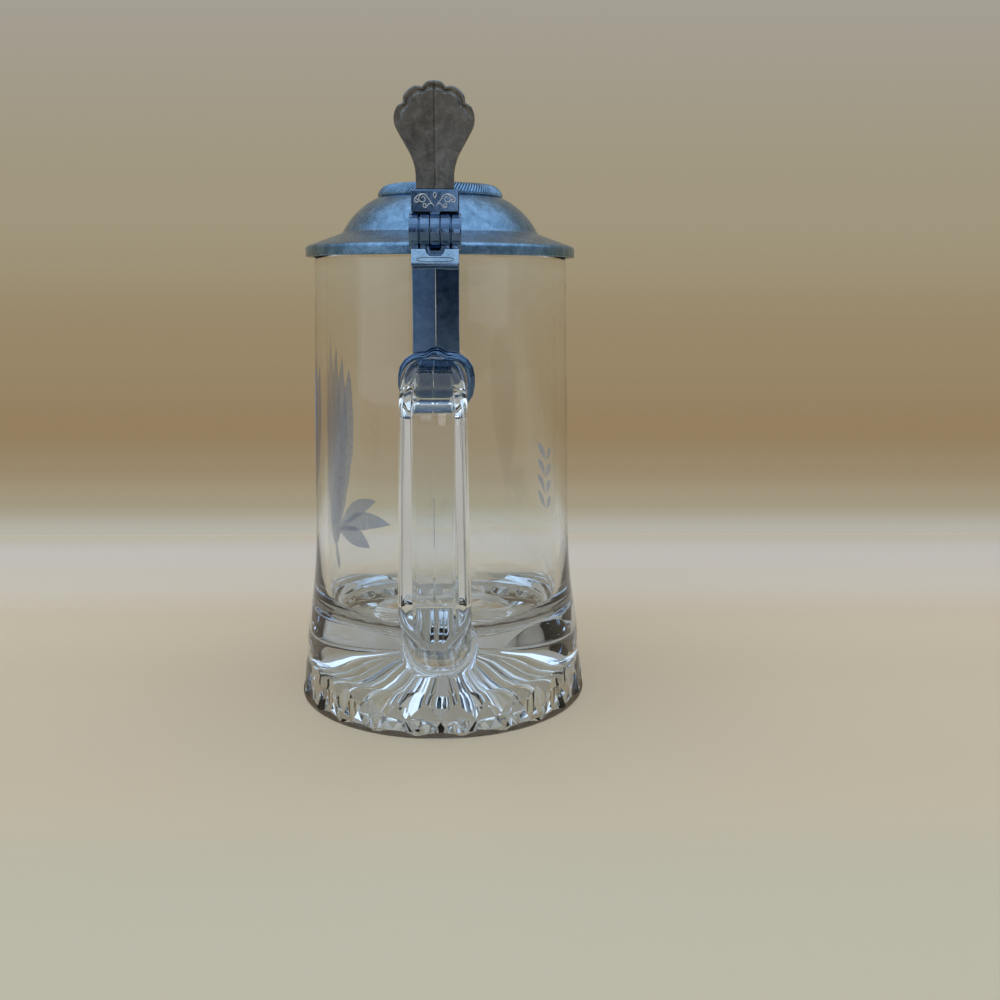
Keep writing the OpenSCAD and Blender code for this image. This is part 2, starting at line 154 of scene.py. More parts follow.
# Sizes of the hinge, the strap and the thumblift
KNUCKLE_R = 5.2
HINGE_Y = -(FLANGE_R + 1.3 + KNUCKLE_R)
HINGE_Z = FLANGE_Z + 0.9 + KNUCKLE_R
BLOCK_FRONT = HINGE_Y - KNUCKLE_R * 0.25
BLOCK_Z = HINGE_Z + KNUCKLE_R + 0.45
SCROLL_Z = BLOCK_Z + 1.5
LIFT_Z = BLOCK_Z + 6.3
LIFT_H = 29.2
LOBE_R = 6.0
LOBE_STEP = 38.0
FAN_R = 5.6
NOTCH_D = 0.5
NOTCH_REACH = 3.5
NOTCH_TURN = 5.5
BEAD_IN = 0.7
BEAD_H = 0.3
FURROW_IN = 1.7
FURROW_D = 0.4
LINE_W = 0.5
LINE_END_TURN = 62.0
LINE_FADE_TURN = 26.0
FAN_SEAM_W = 0.24
FAN_SEAM_D = 0.34
SADDLE_H = 4.9
SADDLE_Z = HINGE_Z - KNUCKLE_R + 0.3
SADDLE_TOP_Y = HINGE_Y - KNUCKLE_R * 0.72
STRAP_W = 13.8
STRAP_FRONT = HINGE_Y + KNUCKLE_R * 0.3 - 2.8
RIDGE_Y = STRAP_FRONT - 1.6
SADDLE_LIP_Y = RIDGE_Y - 1.9
OVAL_W = 10.6
OVAL_H = 1.24


# Outlines

def mix(a, b, t):
    """The value at the share t of the way from a to b."""
    return a + (b - a) * t


def eased(t):
    """Soft step from 0 to 1 as t goes from 0 to 1."""
    t = max(0.0, min(1.0, t))
    return t * t * (3 - 2 * t)


def arc_points(centre, start, turn, steps):
    """Points round centre from the offset start through the angle turn."""
    r = start.length
    first = math.atan2(start.y, start.x)
    points = []
    for i in range(steps + 1):
        a = first + turn * i / steps
        points.append(tuple(centre + r * Vector((math.cos(a), math.sin(a)))))
    return points


def corner_arc(before, corner, after, r, steps):
    """Arc of radius r that rounds a corner."""
    corner = Vector(corner)
    back = (Vector(before) - corner).normalized()
    ahead = (Vector(after) - corner).normalized()
    half = math.acos(max(-1, min(1, back.dot(ahead)))) / 2
    centre = corner + (back + ahead).normalized() * (r / math.sin(half))
    start = corner + back * (r / math.tan(half)) - centre
    end = corner + ahead * (r / math.tan(half)) - centre
    turn = math.atan2(start.x * end.y - start.y * end.x, start.dot(end))
    return arc_points(centre, start, turn, steps)


def rounded(corners, steps):
    """Open outline through corners (x, y) or (x, y, radius), with steps in each rounding."""
    at = [corner[:2] for corner in corners]
    out = [at[0]]
    for i in range(1, len(corners) - 1):
        if len(corners[i]) > 2:
            out += corner_arc(at[i - 1], at[i], at[i + 1], corners[i][2], steps)
        else:
            out.append(at[i])
    return out + [at[-1]]


def bowed(p, q, r, steps):
    """Points from p to q on an arc of radius r that bulges to the left of the way."""
    half = (Vector(q) - Vector(p)) / 2
    side = Vector((-half.y, half.x)).normalized()
    centre = Vector(p) + half - side * math.sqrt(r * r - half.length_squared)
    return arc_points(centre, Vector(p) - centre, -2 * math.asin(half.length / r), steps)


def resampled(points, step):
    """The same outline with no stretch longer than step."""
    out = [points[0]]
    for p, q in zip(points, points[1:]):
        n = max(1, math.ceil(math.dist(p, q) / step))
        out += [(mix(p[0], q[0], i / n), mix(p[1], q[1], i / n)) for i in range(1, n + 1)]
    return out


def last_true(high, rounds, test):
    """Halves the stretch from 0 to high until it closes in on the last place where a test holds."""
    low = 0.0
    for _ in range(rounds):
        middle = (low + high) / 2
        if test(middle):
            low = middle
        else:
            high = middle
    return low


def hump(at, middle, width):
    """Bell-shaped rise of height 1."""
    return math.exp(-((at - middle) / width) ** 2)


# Meshes and pieces

def new_piece(name, verts, faces, scale=MM):
    """Piece with its own mesh, from points that scale turns into metres."""
    mesh = bpy.data.meshes.new(name)
    mesh.from_pydata([tuple(c * scale for c in v) for v in verts], [], faces)
    mesh.update()
    obj = bpy.data.objects.new(name, mesh)
    scene.collection.objects.link(obj)
    return obj


def closed_piece(name, verts, faces):
    """Piece with a closed mesh, all of whose faces are turned outwards."""
    obj = new_piece(name, verts, faces)
    bm = bmesh.new()
    bm.from_mesh(obj.data)
    bmesh.ops.recalc_face_normals(bm, faces=bm.faces)
    bm.to_mesh(obj.data)
    bm.free()
    return obj


def smooth(obj, angle):
    """Smooth shading with sharp edges where faces meet at more than an angle in degrees."""
    obj.data.polygons.foreach_set("use_smooth", [True] * len(obj.data.polygons))
    obj.data.set_sharp_from_angle(angle=math.radians(angle))


def apply_modifiers(obj):
    """Puts the mesh that the modifiers give in the place of the old one."""
    graph = bpy.context.evaluated_depsgraph_get()
    mesh = bpy.data.meshes.new_from_object(obj.evaluated_get(graph))
    obj.modifiers.clear()
    old = obj.data
    obj.data = mesh
    bpy.data.meshes.remove(old)


def fuse(obj, other):
    """Joins other to obj as one solid."""
    join = obj.modifiers.new("join", "BOOLEAN")
    join.operation = "UNION"
    join.solver = "EXACT"
    join.object = other
    apply_modifiers(obj)
    bpy.data.objects.remove(other)


def ringed(name, rings):
    """Solid skinned over closed rings of equal point count."""
    n = len(rings[0])
    last = (len(rings) - 1) * n
    verts = [p for ring in rings for p in ring]
    faces = []
    for j in range(len(rings) - 1):
        for i in range(n):
            k = (i + 1) % n
            faces.append((j * n + i, j * n + k, (j + 1) * n + k, (j + 1) * n + i))
    faces.append(tuple(range(n - 1, -1, -1)))
    faces.append(tuple(range(last, last + n)))
    return closed_piece(name, verts, faces)


def looped(name, around, tube, point):
    """Closed ring with tube points in its section; point(i, k) gives each place."""
    verts = [point(i, k) for i in range(around) for k in range(tube)]
    faces = []
    for i in range(around):
        j = (i + 1) % around
        for k in range(tube):
            m = (k + 1) % tube
            faces.append((i * tube + k, j * tube + k, j * tube + m, i * tube + m))
    return closed_piece(name, verts, faces)


def turned(name, low_z, high_z, rows, count, point):
    """Closed piece of rows of count points round the Z axis, between two points on it.

    point(row, i) gives the place of each point.
    """
    verts = [(0, 0, low_z), (0, 0, high_z)]
    verts += [point(row, i) for row in rows for i in range(count)]
    last = 2 + (len(rows) - 1) * count
    faces = []
    for i in range(count):
        k = (i + 1) % count
        faces.append((0, 2 + i, 2 + k))
        faces.append((1, last + k, last + i))
        for j in range(len(rows) - 1):
            b = 2 + j * count
            faces.append((b + i, b + count + i, b + count + k, b + k))
    return closed_piece(name, verts, faces)


def lathe(name, profile, count, relief=None):
    """Turned piece from an outline (r, z) that starts and ends on the axis; relief(r, z, a) raises it."""
    def place_on(row, i):
        r, z = row
        a = 2 * math.pi * i / count
        if relief:
            z += relief(r, z, a)
        return (r * math.cos(a), r * math.sin(a), z)

    return turned(name, profile[0][1], profile[-1][1], profile[1:-1], count, place_on)


def casting(node, name, voxel, rounds):
    """New piece from a CAD node's mesh, with all its edges softened as a casting's are."""
    obj = bpy.data.objects.new(name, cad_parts[node].data.copy())
    obj.data.materials.clear()
    scene.collection.objects.link(obj)
    skin = obj.modifiers.new("skin", "REMESH")
    skin.mode = "VOXEL"
    skin.voxel_size = voxel * MM
    soft = obj.modifiers.new("soften", "SMOOTH")
    soft.factor = 0.5
    soft.iterations = rounds
    apply_modifiers(obj)
    smooth(obj, angle=180)
    return obj


def wires(name, paths, radius, closed=False):
    """Thin round wires along paths of points; open ones taper to their ends."""
    sides = 8
    verts = []
    faces = []
    for path in paths:
        n = len(path)
        first = len(verts)
        for i, p in enumerate(path):
            before = path[i - 1] if closed or i else p
            after = path[(i + 1) % n] if closed or i < n - 1 else p
            along = (Vector(after) - Vector(before)).normalized()
            across = along.cross(Vector((0, -1, 0))).normalized()
            out = across.cross(along)
            taper = 0.35 + 0.65 * math.sin(math.pi * (0.12 + 0.76 * i / (n - 1)))
            r = radius if closed else radius * taper
            for k in range(sides):
                a = 2 * math.pi * k / sides
                verts.append(tuple(Vector(p) + r * (math.cos(a) * across + math.sin(a) * out)))
        for i in range(n if closed else n - 1):
            here = first + i * sides
            there = first + (i + 1) % n * sides
            for k in range(sides):
                m = (k + 1) % sides
                faces.append((here + k, there + k, there + m, here + m))
        if not closed:
            end = first + (n - 1) * sides
            faces.append(tuple(range(first, first + sides)))
            faces.append(tuple(range(end, end + sides)))
    obj = closed_piece(name, verts, faces)
    smooth(obj, angle=60)
    return obj


def place(obj, material, body, slot, *nodes):
    """Gives a piece its material and its body, and hides the CAD nodes that it stands for; the slot is not
    used.
    """
    obj.data.materials.clear()
    obj.data.materials.append(material)
    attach(obj, body)
    if nodes:
        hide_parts(*nodes)


# Materials

def node_material(name):
    """New material with its node tree and its main shader."""
    material = bpy.data.materials.new(name)
    material.use_nodes = True
    tree = material.node_tree
    return material, tree, tree.nodes["Principled BSDF"]


def noise(tree, coord, scale, detail, rough=0.55, distortion=0.0):
    """Noise over the object's own coordinates, from 0 to 1."""
    node = tree.nodes.new("ShaderNodeTexNoise")
    node.inputs["Scale"].default_value = scale
    node.inputs["Detail"].default_value = detail
    node.inputs["Roughness"].default_value = rough
    node.inputs["Distortion"].default_value = distortion
    tree.links.new(coord.outputs["Object"], node.inputs["Vector"])
    return node.outputs["Fac"]


def ramp(tree, source, stops):
    """Colour ramp of stops (place, colour); a single number stands for a grey."""
    node = tree.nodes.new("ShaderNodeValToRGB")
    while len(node.color_ramp.elements) < len(stops):
        node.color_ramp.elements.new(0.5)
    for element, (at, colour) in zip(node.color_ramp.elements, stops):
        element.position = at
        element.color = (*colour, 1) if isinstance(colour, tuple) else (colour, colour, colour, 1)
    tree.links.new(source, node.inputs["Fac"])
    return node


def bump(tree, bsdf, height, strength, distance):
    """Fine unevenness of the surface."""
    node = tree.nodes.new("ShaderNodeBump")
    node.inputs["Strength"].default_value = strength
    node.inputs["Distance"].default_value = distance
    tree.links.new(height, node.inputs["Height"])
    tree.links.new(node.outputs["Normal"], bsdf.inputs["Normal"])


def pewter_material(name, tones, gloss, grain, pits):
    """Cast pewter: blotchy tone, cloudy gloss and a fine pitted skin."""
    material, tree, bsdf = node_material(name)
    coord = tree.nodes.new("ShaderNodeTexCoord")
    blotch = noise(tree, coord, scale=260, detail=6, rough=0.65, distortion=0.6)
    tone = ramp(tree, blotch, list(zip((0.28, 0.5, 0.74), tones)))
    tree.links.new(tone.outputs["Color"], bsdf.inputs["Base Color"])
    bsdf.inputs["Metallic"].default_value = 1.0
    cloud = noise(tree, coord, scale=420, detail=5, rough=0.6)
    rough = ramp(tree, cloud, list(zip((0.3, 0.7), gloss)))
    tree.links.new(rough.outputs["Color"], bsdf.inputs["Roughness"])
    skin = noise(tree, coord, scale=grain, detail=4, rough=0.6)
    bump(tree, bsdf, skin, strength=pits, distance=0.0003)
    return material


def glass_material():
    """Clear pressed glass with the faint unevenness of its mould."""
    material, tree, bsdf = node_material("clear_glass")
    bsdf.inputs["Base Color"].default_value = (0.975, 0.99, 0.985, 1)
    bsdf.inputs["Transmission Weight"].default_value = 1.0
    bsdf.inputs["IOR"].default_value = 1.5
    coord = tree.nodes.new("ShaderNodeTexCoord")
    film = ramp(tree, noise(tree, coord, scale=45, detail=3), [(0.35, 0.0), (0.8, 0.025)])
    tree.links.new(film.outputs["Color"], bsdf.inputs["Roughness"])
    bump(tree, bsdf, noise(tree, coord, scale=60, detail=2), strength=0.06, distance=0.001)
    # Thick glass takes on a cool grey, and thin glass stays clear.
    depth = tree.nodes.new("ShaderNodeVolumeAbsorption")
    depth.inputs["Color"].default_value = (0.15, 0.52, 1.0, 1)
    depth.inputs["Density"].default_value = 4.0
    tree.links.new(depth.outputs["Volume"], tree.nodes["Material Output"].inputs["Volume"])
    # Light on its way to the floor passes through, as it does through real glass.
    path = tree.nodes.new("ShaderNodeLightPath")
    shade = tree.nodes.new("ShaderNodeMapRange")
    shade.inputs["To Min"].default_value = 1.0
    shade.inputs["To Max"].default_value = 0.12
    tree.links.new(path.outputs["Is Shadow Ray"], shade.inputs["Value"])
    tree.links.new(shade.outputs["Result"], bsdf.inputs["Alpha"])
    return material


def print_material():
    """Frosted blue-grey print, thin enough to let light through."""
    material, tree, bsdf = node_material("frosted_print")
    coord = tree.nodes.new("ShaderNodeTexCoord")
    speck = noise(tree, coord, scale=700, detail=4)
    tone = ramp(tree, speck, [(0.3, (0.17, 0.30, 0.56)), (0.7, (0.26, 0.41, 0.70))])
    tree.links.new(tone.outputs["Color"], bsdf.inputs["Base Color"])
    bsdf.inputs["Roughness"].default_value = 0.7
    thin = ramp(tree, speck, [(0.25, 0.5), (0.75, 0.76)])
    tree.links.new(thin.outputs["Color"], bsdf.inputs["Alpha"])
    return material


GLASS = glass_material()
PRINT = print_material()
PEWTER = pewter_material(
    "pewter", tones=((0.075, 0.14, 0.225), (0.13, 0.24, 0.385), (0.22, 0.375, 0.57)),
    gloss=(0.15, 0.32), grain=1300, pits=0.42)
# Darker, glossier copy of the pewter for the strap, the tang and the collar: its darker tones are painted
# shade, and its smoother skin is its own.
SHADED_STRAP_PEWTER = pewter_material(
    "shaded_smooth_pewter", tones=((0.075, 0.13, 0.22), (0.10, 0.17, 0.29), (0.14, 0.225, 0.36)),
    gloss=(0.1, 0.19), grain=700, pits=0.03)
# Bright grey metal for the strap's edge lines, where it paints highlights, and for the scrolls on the tang's
# block.
BRIGHT_PEWTER = pewter_material(
    "bright_pewter", tones=((0.42, 0.44, 0.46), (0.58, 0.60, 0.62), (0.72, 0.74, 0.76)),
    gloss=(0.22, 0.4), grain=1400, pits=0.1)
DARK_PEWTER = pewter_material(
    "dark_pewter", tones=((0.105, 0.102, 0.096), (0.18, 0.174, 0.162), (0.28, 0.27, 0.255)),
    gloss=(0.28, 0.46), grain=1000, pits=0.3)
# Lighter copy of the pewter for the saddle's sloping face; its lighter tones are painted light.
LIT_SADDLE_PEWTER = pewter_material(
    "saddle_painted_light_pewter", tones=((0.24, 0.37, 0.54), (0.32, 0.48, 0.67), (0.42, 0.58, 0.78)),
    gloss=(0.2, 0.32), grain=1300, pits=0.3)
PIN_METAL = pewter_material(
    "pin_metal", tones=((0.30, 0.30, 0.30), (0.45, 0.45, 0.45), (0.55, 0.55, 0.55)),
    gloss=(0.25, 0.4), grain=1500, pits=0.1)


# The glass vessel

OUTSIDE = resampled(rounded([
    (FOOT_R, 0), (FOOT_R - FOOT_FLARE, FLUTE_H, FOOT_BEND_R),
    (SHOULDER_R, FLUTE_H + FOOT_NARROW_H, FOOT_BEND_R), (SHOULDER_R, SHOULDER_Z, SHOULDER_BEND_R),
    (WAIST_R, WAIST_Z, WAIST_BEND_R), (RIM_R, GLASS_H, RIM_EDGE_R), (RIM_R - WALL / 2, GLASS_H),
], 12), OUTLINE_STEP)


def outer_radius(z):
    """Radius of the outside of the vessel, without its flutes, at a height."""
    for (r0, z0), (r1, z1) in zip(OUTSIDE, OUTSIDE[1:]):
        if z0 <= z <= z1 and z1 > z0:
            return mix(r0, r1, (z - z0) / (z1 - z0))
    return OUTSIDE[0][0] if z < 0 else OUTSIDE[-1][0]


def foot_column(flute, above):
    """Points up the side of the foot, through a flute whose bottom is at the given radius."""
    low_r = outer_radius(FLUTE_LOW)
    start = FLUTE_LOW + max(LEAST_STEP, min(FLUTE_RUN_IN, 0.5 * (low_r - flute)))
    runs_out = last_true(FLUTE_H + 3, 40, lambda z: outer_radius(z) > flute)
    end = max(start + LEAST_STEP, min(FLUTE_H - FLUTE_RUN_OUT, runs_out - LEAST_STEP))
    top = end + max(LEAST_STEP, min(FLUTE_RUN_OUT, 0.6 * (outer_radius(end) - flute)))
    start_r = min(flute, outer_radius(start))
    end_r = min(flute, outer_radius(end))
    column = [(mix(low_r, start_r, i / 3), mix(FLUTE_LOW, start, i / 3)) for i in range(3)]
    for i in range(7):
        z = mix(start, end, i / 6)
        column.append((min(flute, outer_radius(z)), z))
    column += [(mix(end_r, outer_radius(top), i / 3), mix(end, top, i / 3)) for i in (1, 2)]
    for i in range(8):
        z = mix(top, above, i / 7)
        column.append((outer_radius(z), z))
    return column


def star_rows(offsets, pitch):
    """Rows of the star under the foot, closer together where its rays meet in the middle."""
    star_edge = RECESS_H + STAR_STEP
    rays = [star_edge + RAY_D * (1 - (1 - 2 * offset / pitch) ** RAY_BOW) for offset in offsets]
    shares = [0.02, 0.05, 0.09] + [mix(0.125, 1, i / 19) for i in range(20)]
    return [[(STAR_R * t, mix(PUNT_H, ray, t)) for ray in rays] for t in shares]


def inside_rows():
    """Rows down the inside of the wall and along the sloping floor to its middle."""
    corner_z = FLOOR_Z + FLOOR_RISE
    corner_r = RIM_R - WALL + (WAIST_R - RIM_R) / (GLASS_H - WAIST_Z) * (GLASS_H - corner_z)
    inside = resampled(rounded([
        (RIM_R - WALL / 2, GLASS_H), (RIM_R - WALL, GLASS_H, RIM_EDGE_R),
        (corner_r, corner_z, FLOOR_CORNER_R), (FLOOR_DISC_R, FLOOR_Z, FLOOR_DISC_EDGE_R), (0.6, FLOOR_Z),
    ], 14), OUTLINE_STEP)
    return [[p] for p in inside[1:]]


def vessel_rows():
    """Rows of points (r, z) from the middle of the underside round to the middle of the inner floor.

    A row has one point, or as many as a sector of the foot: a flute's middle comes first, and the bottom
    of a ray of the star is half a sector further on.
    """
    pitch = 2 * math.pi / FLUTES
    flute_r = FOOT_R - FLUTE_D
    bore = 1 / (2 * FLUTE_D / (math.pi * FOOT_R / FLUTES) ** 2 - 1 / flute_r)
    far = flute_r + bore
    above = FLUTE_H + FOOT_NARROW_H
    angles = [pitch * i / FLUTE_POINTS for i in range(FLUTE_POINTS)]
    offsets = [min(a, pitch - a) for a in angles]
    columns = []
    for offset in offsets:
        flute = far * math.cos(offset) - math.sqrt(bore ** 2 - (far * math.sin(offset)) ** 2)
        columns.append(foot_column(flute, above))

    edge_in = FOOT_R - FOOT_EDGE_R
    stand_in = edge_in - STAND_W
    rows = star_rows(offsets, pitch)
    rows += [[(STAR_R + LEAST_STEP, RECESS_H)], [(stand_in - RECESS_H, RECESS_H)]]
    rows += [[(stand_in, 0)], [(edge_in, 0)]]
    for i in range(1, 13):
        a = math.pi / 2 * i / 12
        r = mix(edge_in, outer_radius(FOOT_EDGE_R), math.sin(a))
        rows.append([(r, FOOT_EDGE_R * (1 - math.cos(a)))])
    rows += [[column[j] for column in columns] for j in range(len(columns[0]))]
    rows += [[p] for p in OUTSIDE if p[1] > above + 0.2]
    return rows + inside_rows()


def vessel():
    count = FLUTES * FLUTE_POINTS

    def place_on(row, i):
        a = 2 * math.pi * i / count
        r, z = row[i % len(row)]
        return (r * math.sin(a), -r * math.cos(a), z)

    return turned("glass_vessel", PUNT_H, FLOOR_Z, vessel_rows(), count, place_on)


# The glass handle

def handle_section(w, rib, spread, edge, thick):
    """Points (across, inwards) of the handle's section, with the mould seam down the middle of its outside.

    The ribs beside the panel rise as rib goes from 0 to 1, and spread widens the section all round.
    """
    side = w / 2 + spread
    panel = max(PANEL_LEAST_W, min(PANEL_W, w - 2 * edge - PANEL_EDGE_W))
    dip = PANEL_D * mix(PANEL_TRACE, 1, rib)
    face = dip - spread
    right = rounded([
        (0, face - SEAM_H), (SEAM_W * 0.275, face - SEAM_H / 7), (SEAM_W / 2, face),
        ((panel - dip) / 2, face, dip * 0.6), ((panel + dip) / 2, -spread, dip * 0.6),
        (side, -spread, edge), (side, thick - BACK_BEVEL + spread, BACK_EDGE_R),
        (w / 2 - BACK_BEVEL, thick + spread, BACK_EDGE_R), (0, thick + spread),
    ], 12)
    return right + [(-x, y) for x, y in right[-2:0:-1]]


def upper_thickness(p, a):
    """Thickness of the upper half: the arm thins towards the bend, and its inside corner is a fillet."""
    fillet = Vector((GRIP_Y + HANDLE_T + INSIDE_R, ARM_TOP - HANDLE_T + ARM_THINS - INSIDE_R))
    way = Vector((math.sin(a), -math.cos(a)))
    off = Vector(p) - fillet
    along = off.dot(way)
    space = along ** 2 - off.length_squared + INSIDE_R ** 2
    if space > 0:
        reach = -along - math.sqrt(space)
        hit = Vector(p) + way * reach
        if hit.x < fillet.x and hit.y > fillet.y:
            return reach
    if a > 0:
        return HANDLE_T
    return HANDLE_T - ARM_THINS * eased((ARM_THINS_Y - p[0]) / ARM_THINS_L)


def handle_ring(p, a, w, rib, edge, spread=0.0):
    """Ring of the handle whose outside is at p (y, z) and whose section leans by the angle a."""
    thick = upper_thickness(p, a) if p[1] > LOW_BEND_Z + BEND_R else HANDLE_T
    section = handle_section(w, rib, spread, edge, thick)
    return [(x, p[0] + v * math.sin(a), p[1] - v * math.cos(a)) for x, v in section]


def wall_gap(x, y, z):
    """Distance of a point from the outside of the vessel, measured level."""
    return math.hypot(x, y) - outer_radius(z)


def to_wall(points, way, gap):
    """Slides each point along way until it is gap outside the vessel."""
    out = []
    for x, y, z in points:
        reach = last_true(ROOT_REACH, 44, lambda m: wall_gap(x, y + way[0] * m, z + way[1] * m) > gap)
        out.append((x, y + way[0] * reach, z + way[1] * reach))
    return out


def root_rings(p, a, w, way):
    """Rings of a root that flares to the vessel and ends inside its wall."""
    gaps = [ROOT_R * t for t in (1.0, 0.85, 0.7, 0.55, 0.42, 0.3, 0.2, 0.12, 0.06, 0.02)] + [-0.6, -1.8]
    rings = []
    for gap in gaps:
        spread = ROOT_R - math.sqrt(max(0, ROOT_R ** 2 - (ROOT_R - max(0, gap)) ** 2))
        rings.append(to_wall(handle_ring(p, a, w, 0, ARM_EDGE_R, spread), way, gap))
    return rings


def bend_point(z, a):
    """Place on the outside of a bend whose middle is at the height z."""
    return (BEND_Y - BEND_R * math.sin(a), z + BEND_R * math.cos(a))


def handle():
    """The handle from its upper root over the two bends to its lower root."""
    grip_top = ARM_TOP - BEND_R
    rings = root_rings((BEND_Y, ARM_TOP), 0, TOP_W, (1, 0))[::-1]
    for y in ARM_RINGS_Y:
        edge = mix(ARM_EDGE_R, BEND_EDGE_R, eased((ARM_SQUARES_Y - y) / ARM_SQUARES_L))
        rings.append(handle_ring((y, ARM_TOP), 0, TOP_W, 0, edge))
    for i in range(UPPER_BEND_RINGS + 1):
        t = i / UPPER_BEND_RINGS
        a = math.radians(90 * t)
        rib = eased((t - RIBS_START) / RIBS_RISE)
        edge = mix(BEND_EDGE_R, RIB_R, eased(t))
        rings.append(handle_ring(bend_point(grip_top, a), a, TOP_W, rib, edge))
    for i in range(1, GRIP_RINGS):
        t = i / GRIP_RINGS
        at = (GRIP_Y, mix(grip_top, LOW_BEND_Z, t))
        rings.append(handle_ring(at, math.pi / 2, mix(TOP_W, LOW_W, t), 1, RIB_R))
    for i in range(LOWER_BEND_RINGS + 1):
        t = i / LOWER_BEND_RINGS
        a = math.radians(90 + LOW_TURN * t)
        rib = 1 - eased(t / RIBS_END)
        rings.append(handle_ring(bend_point(LOW_BEND_Z, a), a, LOW_W, rib, mix(ARM_EDGE_R, RIB_R, rib)))
    low = math.radians(90 + LOW_TURN)
    way = Vector((-math.cos(low), -math.sin(low)))
    arm = [Vector(bend_point(LOW_BEND_Z, low)) + way * d for d in LOW_ARM_RINGS]
    rings += [handle_ring(tuple(p), low, LOW_W, 0, ARM_EDGE_R) for p in arm]
    rings += root_rings(tuple(arm[-1]), low, LOW_W, way)
    return ringed("handle_glass", rings)


glass = vessel()
fuse(glass, handle())
smooth(glass, angle=9)
place(glass, GLASS, "mug", "clear_glass", "glass_body", "glass_handle")


# The print: plain leaves on the wall of the glass

def wall_point(along, z):
    """Place just proud of the wall, measured along it from the side away from the handle."""
    r = outer_radius(z)
    a = math.pi / 2 + along / r
    proud = r + PRINT_PROUD
    return (proud * math.cos(a), proud * math.sin(a), z)


def add_leaf(verts, faces, base, length, width, lean, curl):
    """A pointed leaf from base (along, height), leaning from upright and curling on by degrees."""
    rows = 18
    columns = 4
    start = len(verts)
    for i in range(rows + 1):
        t = i / rows
        a = math.radians(lean + curl * t)
        x = base[0] + length * t * math.sin(a)
        z = base[1] + length * t * math.cos(a)
        half = width * math.sin(math.pi * min(1, t * 0.97 + 0.03) ** 1.15) ** 0.9 / 2
        for k in range(columns + 1):
            off = half * (2 * k / columns - 1)
            verts.append(wall_point(x + off * math.cos(a), z - off * math.sin(a)))
    for i in range(rows):
        for k in range(columns):
            b = start + i * (columns + 1) + k
            faces.append((b, b + 1, b + columns + 2, b + columns + 1))


def print_piece():
    """A tall sheaf of leaves with low leaves beside it, and a small sprig on the other side."""
    verts = []
    faces = []
    for i in range(SHEAF_LEAVES):
        base = (SHEAF_AT + 0.9 * (i - 2.5), SHEAF_Z)
        fan_out = i - 2.3
        length = 76 - 4 * abs(i - 3)
        add_leaf(verts, faces, base, length, width=11.5, lean=7 * fan_out, curl=-2.2 * fan_out)
    for lean, length in ((-58, 26), (-80, 32), (-102, 24)):
        add_leaf(verts, faces, (SHEAF_AT - 4, SIDE_LEAF_Z), length, width=7, lean=lean, curl=-16)
    add_leaf(verts, faces, (SHEAF_AT, SIDE_LEAF_Z), length=16, width=4, lean=176, curl=8)
    for i in range(4):
        for side in (-1, 1):
            base = (SPRIG_AT + side * 0.6, SPRIG_Z + SPRIG_STEP * i)
            add_leaf(verts, faces, base, length=9, width=3.2, lean=34 * side, curl=16 * side)
    return new_piece("frosted_sprigs", verts, faces)


sprigs = print_piece()
smooth(sprigs, angle=180)
place(sprigs, PRINT, "mug", "clear_glass")


# The lid

def lid_profile():
    """Outline from the crown over the flange and back along the inside."""
    dome = bowed((MEDAL_R, CROWN_Z), (DOME_R, DOME_Z), DOME_BOW, 24)
    inner_r = DOME_R - LID_T
    inner_z = DOME_Z - LID_T
    # The last point only gives the way in which the outline goes on.
    edge = rounded([
        dome[-2], (DOME_R, DOME_Z, 2.2), (FLANGE_R, FLANGE_Z + FLANGE_EDGE, 1.3), (FLANGE_R, FLANGE_Z, 0.35),
        (SKIRT_R, FLANGE_Z, 0.3), (SKIRT_R, SEAT_Z, 0.3), (RIM_R - WALL, SEAT_Z, 1.0),
        (inner_r, inner_z, 2.0), (MEDAL_R - LID_T, CROWN_Z - LID_T - 4),
    ], 8)
    inside = bowed((MEDAL_R - LID_T, CROWN_Z - LID_T), (inner_r, inner_z), DOME_BOW, 16)[::-1]
    return [(0, CROWN_Z)] + dome[:-2] + edge[:-1] + inside[2:] + [(0, CROWN_Z - LID_T)]


lid = lathe("lid_shell", resampled(lid_profile(), LID_STEP), 192)
smooth(lid, angle=32)
place(lid, PEWTER, "lid", "pewter", "lid_cover")


def rope_border():
    """Sloping border of close round strands, like a cable laid over the edge of the medallion."""
    fine = 8
    tube = 24
    around = ROPE_STRANDS * fine
    middle = Vector((MEDAL_R - ROPE_W / 2, CROWN_Z + ROPE_H * 0.45))
    up_slope = Vector((-0.74, 0.67)) * ROPE_W * 0.62
    off_slope = Vector((0.67, 0.74)) * ROPE_W * 0.31

    def strand_point(i, k):
        a = 2 * math.pi * i / around
        b = 2 * math.pi * k / tube
        rise = math.sin(b)
        if rise > 0:
            rise *= 0.6 + 0.4 * math.sqrt(max(0, 1 - (2 * (i % fine) / fine - 1) ** 2))
        at = middle + up_slope * math.cos(b) + off_slope * rise
        twist = a + ROPE_TWIST * math.cos(b)
        return (at.x * math.cos(twist), at.x * math.sin(twist), at.y)

    return looped("rope_border", around, tube, strand_point)


rope = rope_border()
smooth(rope, angle=40)
place(rope, PEWTER, "lid", "pewter", "lid_medallion")


